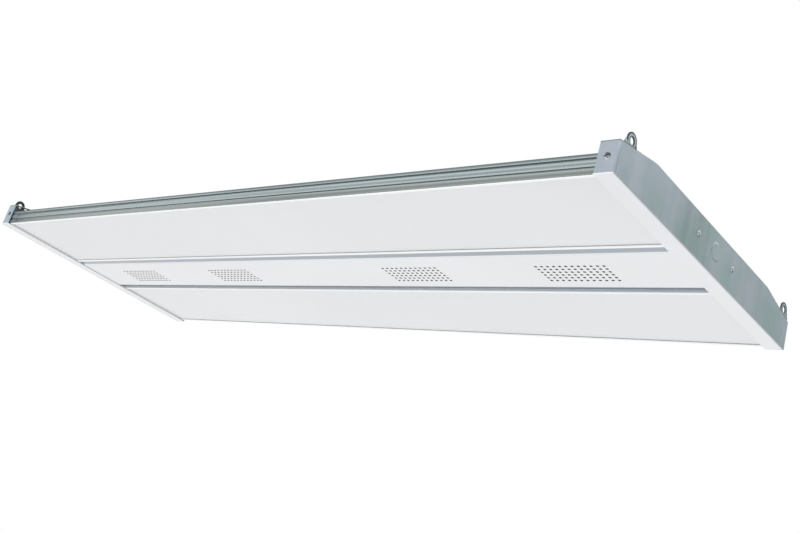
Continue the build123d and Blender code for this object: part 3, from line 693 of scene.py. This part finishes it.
def lathe(name, profile, slot, stands, *replaced, steps=32):
    """Copies of a turned piece, one per stand: (radius, height) points in millimetres, spun about Z."""
    bm = bmesh.new()
    for stand in stands:
        rings = []
        for radius, height in profile:
            count = steps if radius else 1
            ring = []
            for k in range(count):
                angle = 2 * math.pi * k / count
                point = Vector((radius * math.cos(angle), radius * math.sin(angle), height)) * MM
                ring.append(bm.verts.new(stand @ point))
            rings.append(ring)
        for lower, upper in zip(rings, rings[1:]):
            for k in range(steps):
                quad = [lower[k % len(lower)], lower[(k + 1) % len(lower)],
                        upper[(k + 1) % len(upper)], upper[k % len(upper)]]
                bm.faces.new(list(dict.fromkeys(quad)))
    bmesh.ops.recalc_face_normals(bm, faces=bm.faces)
    mesh = bpy.data.meshes.new(name)
    bm.to_mesh(mesh)
    bm.free()
    mesh.shade_smooth()
    mesh.set_sharp_from_angle(angle=math.radians(LATHE_SHARP_ANGLE))
    return finish_piece(mesh, name, slot, *replaced)


# Centre cover

def cover_side():
    """(y, z) points of the far half of the cover's outer skin in millimetres, from the hem to the bottom."""
    low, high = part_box("centre_cover")
    hem_height = high.z / MM - COVER_SHEET
    points = [(high.y / MM, hem_height), (COVER_HALF, hem_height)]
    y = COVER_HALF - COVER_BEND
    z = low.z / MM + COVER_BEND
    for index in range(COVER_BEND_STEPS + 1):
        angle = math.radians(-90 * index / COVER_BEND_STEPS)
        points.append((y + COVER_BEND * math.cos(angle), z + COVER_BEND * math.sin(angle)))
    return points


def punched_cell(bm, corners):
    """One cell of the sheet with a round vent: fans of faces from its corners to the vent's rim."""
    middle = sum((corner.co for corner in corners), Vector()) / len(corners)
    rim = []
    for k in range(VENT_STEPS):
        turn = math.radians(45 + 360 * k / VENT_STEPS)
        offset = Vector((math.cos(turn), math.sin(turn), 0)) * VENT_DIAMETER / 2 * MM
        rim.append(bm.verts.new(middle + offset))
    quarter = VENT_STEPS // 4
    first, second, third, fourth = corners
    around = [second, first, fourth, third]
    for index, corner in enumerate(around):
        start = index * quarter - quarter // 2
        for k in range(start, start + quarter):
            bm.faces.new([corner, rim[k % VENT_STEPS], rim[(k + 1) % VENT_STEPS]])
        bm.faces.new([corner, rim[(start + quarter) % VENT_STEPS], around[(index + 1) % len(around)]])


def cover_skin():
    """The cover's outer skin as a mesh, with four groups of round vents in its flat bottom."""
    low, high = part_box("centre_cover")
    far = cover_side()
    near = [(-y, z) for y, z in reversed(far)]
    bottom = far[-1][1]
    step_x, step_y = VENT_PITCH
    columns, rows = VENT_COUNT
    row_lines = [VENT_SHIFT + (index - rows / 2) * step_y for index in range(rows + 1)]
    profile = far + [(y, bottom) for y in reversed(row_lines)] + near
    cuts = [low.x / MM]
    for centre in VENT_GROUPS:
        cuts += [centre + (index - columns / 2) * step_x for index in range(columns + 1)]
    cuts.append(high.x / MM)

    bm = bmesh.new()
    grid = [[bm.verts.new((x * MM, y * MM, z * MM)) for y, z in profile] for x in cuts]
    for i in range(len(cuts) - 1):
        in_group = i > 0 and (i - 1) % (columns + 1) < columns
        for j in range(len(profile) - 1):
            corners = [grid[i][j], grid[i + 1][j], grid[i + 1][j + 1], grid[i][j + 1]]
            if in_group and len(far) <= j < len(far) + rows:
                punched_cell(bm, corners)
            else:
                bm.faces.new(corners)
    bm.normal_update()
    bmesh.ops.recalc_face_normals(bm, faces=bm.faces)
    mesh = bpy.data.meshes.new("centre_cover_sheet")
    bm.to_mesh(mesh)
    bm.free()
    return mesh


def centre_cover():
    """The perforated tray: the skin thickened inwards, with the sheet's cut edges painted near black as shade
    in the vents.
    """
    mesh = cover_skin()
    piece = finish_piece(mesh, "centre_cover_sheet", "white_paint", "centre_cover")
    mesh.materials.append(cut_edge_shade)
    down = sum(face.normal.z * face.area for face in mesh.polygons)
    thick = piece.modifiers.new("sheet", "SOLIDIFY")
    thick.thickness = COVER_SHEET * MM
    thick.offset = -1 if down < 0 else 1
    thick.use_even_offset = True
    thick.material_offset_rim = 1


# Fasteners and knockouts

def end_rivets():
    """Domed blind rivets beside each knockout, with a shallow hollow where the pin broke off."""
    rim = RIVET_HEAD / 2 + RIVET_BRIM
    angles = [math.radians(angle) for angle in RIVET_DOME_ANGLES]
    dome = [(rim * math.cos(angle), RIVET_RISE * math.sin(angle)) for angle in angles]
    floor_height = RIVET_RISE - RIVET_HOLLOW
    hollow = [(dome[-1][0] - RIVET_HOLLOW_TAPER, floor_height), (0.0, floor_height)]
    stands = []
    for end in (-1, 1):
        for side in (-1, 1):
            y = KNOCKOUT_SHIFT + side * RIVET_PITCH / 2
            stands.append(facing((end * half_length, y, KNOCKOUT_HEIGHT), (end, 0, 0)))
    lathe("end_rivet_heads", [(0.0, 0.0)] + dome + hollow, "rivet_aluminium", stands, "end_rivets")


def knockout_discs():
    """The slugs of the knockouts, pressed a little proud of the end plates, with a shallow bevel."""
    edge = KNOCKOUT_DIAMETER / 2
    profile = [
        (0.0, KNOCKOUT_PROUD), (edge - KNOCKOUT_BEVEL, KNOCKOUT_PROUD), (edge, 0.0),
        (edge - KNOCKOUT_SLOT, -KNOCKOUT_BACK), (0.0, -KNOCKOUT_BACK),
    ]
    stands = [facing((end * half_length, KNOCKOUT_SHIFT, KNOCKOUT_HEIGHT), (end, 0, 0)) for end in (-1, 1)]
    lathe("knockout_discs", profile, "galvanised_sheet", stands, steps=48)


def flange_screws():
    """Countersunk screws in the side flanges, each in a thin turned cup that lines the flange's dimple and
    carries the recess's painted shade and highlight.
    """
    head = FLANGE_SCREW_HEAD / 2
    shank = FLANGE_SCREW_SHANK / 2
    cup = DIMPLE_DIAMETER / 2 - CUP_GAP
    drive = [(0.0, -SCREW_DRIVE), (SCREW_DRIVE, -SCREW_DRIVE), (SCREW_DRIVE + SCREW_DRIVE_TAPER, 0.0)]
    face = [(head - SCREW_FACE_INSET, 0.0), (head - SCREW_EDGE_INSET, -SCREW_EDGE_DROP)]
    lining = [(cup, FLANGE_SCREW_SINK - CUP_RIM_DROP), (cup + CUP_SHEET, FLANGE_SCREW_SINK - CUP_GAP)]
    body = [(head, -SCREW_UNDERCUT), (shank, -SCREW_HEAD_DEPTH), (shank, -SCREW_SHANK_END), (0.0, -SCREW_TIP)]
    stands = []
    for end in (-1, 1):
        for side in (-1, 1):
            x = end * (half_length - FLANGE_SCREW_X)
            y = side * (half_width - FLANGE_SCREW_SINK)
            stands.append(facing((x, y, FLANGE_SCREW_HEIGHT), (0, side, 0)))
    lathe("flange_screw_heads", drive + face + lining + body, "zinc_screw", stands, "flange_screws")


# Studio

def floor():
    """A pale floor under the light, which shows from above and is clear from below."""
    mesh = bpy.data.meshes.new("floor")
    ring = [(-1, -1), (1, -1), (1, 1), (-1, 1)]
    mesh.from_pydata([(x * FLOOR_REACH, y * FLOOR_REACH, 0) for x, y in ring], [], [(0, 1, 2, 3)])
    item = bpy.data.objects.new("floor", mesh)
    scene.collection.objects.link(item)
    item.visible_diffuse = False
    item.visible_glossy = False
    item.visible_transmission = False
    item.visible_shadow = False
    m = Finish("floor")
    m.set(Base_Color=srgb(*FLOOR_COLOUR), Roughness=0.9, Specular_IOR_Level=0.0)
    side = m.add("ShaderNodeNewGeometry")
    clear = m.add("ShaderNodeBsdfTransparent")
    blend = m.add("ShaderNodeMixShader")
    m.join(side.outputs["Backfacing"], blend.inputs["Fac"])
    m.join(m.shader.outputs["BSDF"], blend.inputs[1])
    m.join(clear.outputs["BSDF"], blend.inputs[2])
    m.join(blend.outputs["Shader"], m.tree.nodes["Material Output"].inputs["Surface"])
    mesh.materials.append(m.material)


def studio_level(n):
    """The light that shiny surfaces mirror, by direction: pale below the horizon and in a band overhead."""
    direction = n.add("ShaderNodeTexCoord").outputs["Generated"]
    _, _, height = n.axes(direction)
    level = STUDIO_BASE
    for change, start, end in STUDIO_STEPS:
        level = n.calc("ADD", level, n.span(height, 0.0, change, start, end, smooth=True))
    for toward, inner, outer, factor in STUDIO_PATCHES:
        turned = n.add("ShaderNodeVectorMath", operation="DOT_PRODUCT")
        n.join(direction, turned.inputs[0])
        turned.inputs[1].default_value = Vector(toward).normalized()
        start = math.cos(math.radians(outer))
        end = math.cos(math.radians(inner))
        level = n.product(level, n.span(turned.outputs["Value"], 1.0, factor, start, end, smooth=True))
    return level


def world():
    """White to the camera, a soft studio in reflections and an even fill light elsewhere."""
    item = bpy.data.worlds.new("studio")
    scene.world = item
    item.use_nodes = True
    n = Nodes(item.node_tree)
    path = n.add("ShaderNodeLightPath")
    background = n.tree.nodes["Background"]
    seen = n.calc("MAXIMUM", path.outputs["Is Camera Ray"], path.outputs["Is Transmission Ray"])
    mirrored = n.product(path.outputs["Is Glossy Ray"], n.calc("SUBTRACT", studio_level(n), FILL_LIGHT))
    unseen = n.calc("ADD", mirrored, FILL_LIGHT)
    lift = n.product(seen, n.inverse(unseen))
    n.join(n.calc("ADD", unseen, lift), background.inputs["Strength"])
    background.inputs["Color"].default_value = (1, 1, 1, 1)


def add_light(name, data, direction):
    """A light object that shines along a direction and shows in no reflection."""
    item = bpy.data.objects.new(name, data)
    item.rotation_euler = Vector(direction).to_track_quat("-Z", "Y").to_euler()
    item.visible_glossy = False
    scene.collection.objects.link(item)
    return item


def lamp(name, place, size, power):
    """A square area lamp that points at the middle of the light."""
    data = bpy.data.lights.new(name, "AREA")
    data.shape = "SQUARE"
    data.size = size
    data.energy = power
    add_light(name, data, -Vector(place)).location = place


def sun(name, direction, spread, strength):
    """A wide, even light along a direction, with its spread in degrees."""
    data = bpy.data.lights.new(name, "SUN")
    data.angle = math.radians(spread)
    data.energy = strength
    add_light(name, data, direction)


def camera():
    """The photograph's camera."""
    data = bpy.data.cameras.new("camera")
    data.sensor_width = CAMERA_SENSOR
    data.lens = CAMERA_LENS
    data.shift_x, data.shift_y = CAMERA_SHIFT
    data.clip_start = CAMERA_NEAR
    item = bpy.data.objects.new("camera", data)
    item.location = CAMERA_PLACE
    item.rotation_euler = [math.radians(angle) for angle in CAMERA_TURN]
    scene.collection.objects.link(item)
    scene.camera = item


dress_nodes()
centre_cover()
end_rivets()
knockout_discs()
flange_screws()
floor()
world()
lamp("under_lamp", *UNDER_LAMP)
sun("near_light", *NEAR_LIGHT)
lamp("top_lamp", *TOP_LAMP)
camera()
scene.view_settings.view_transform = "Standard"
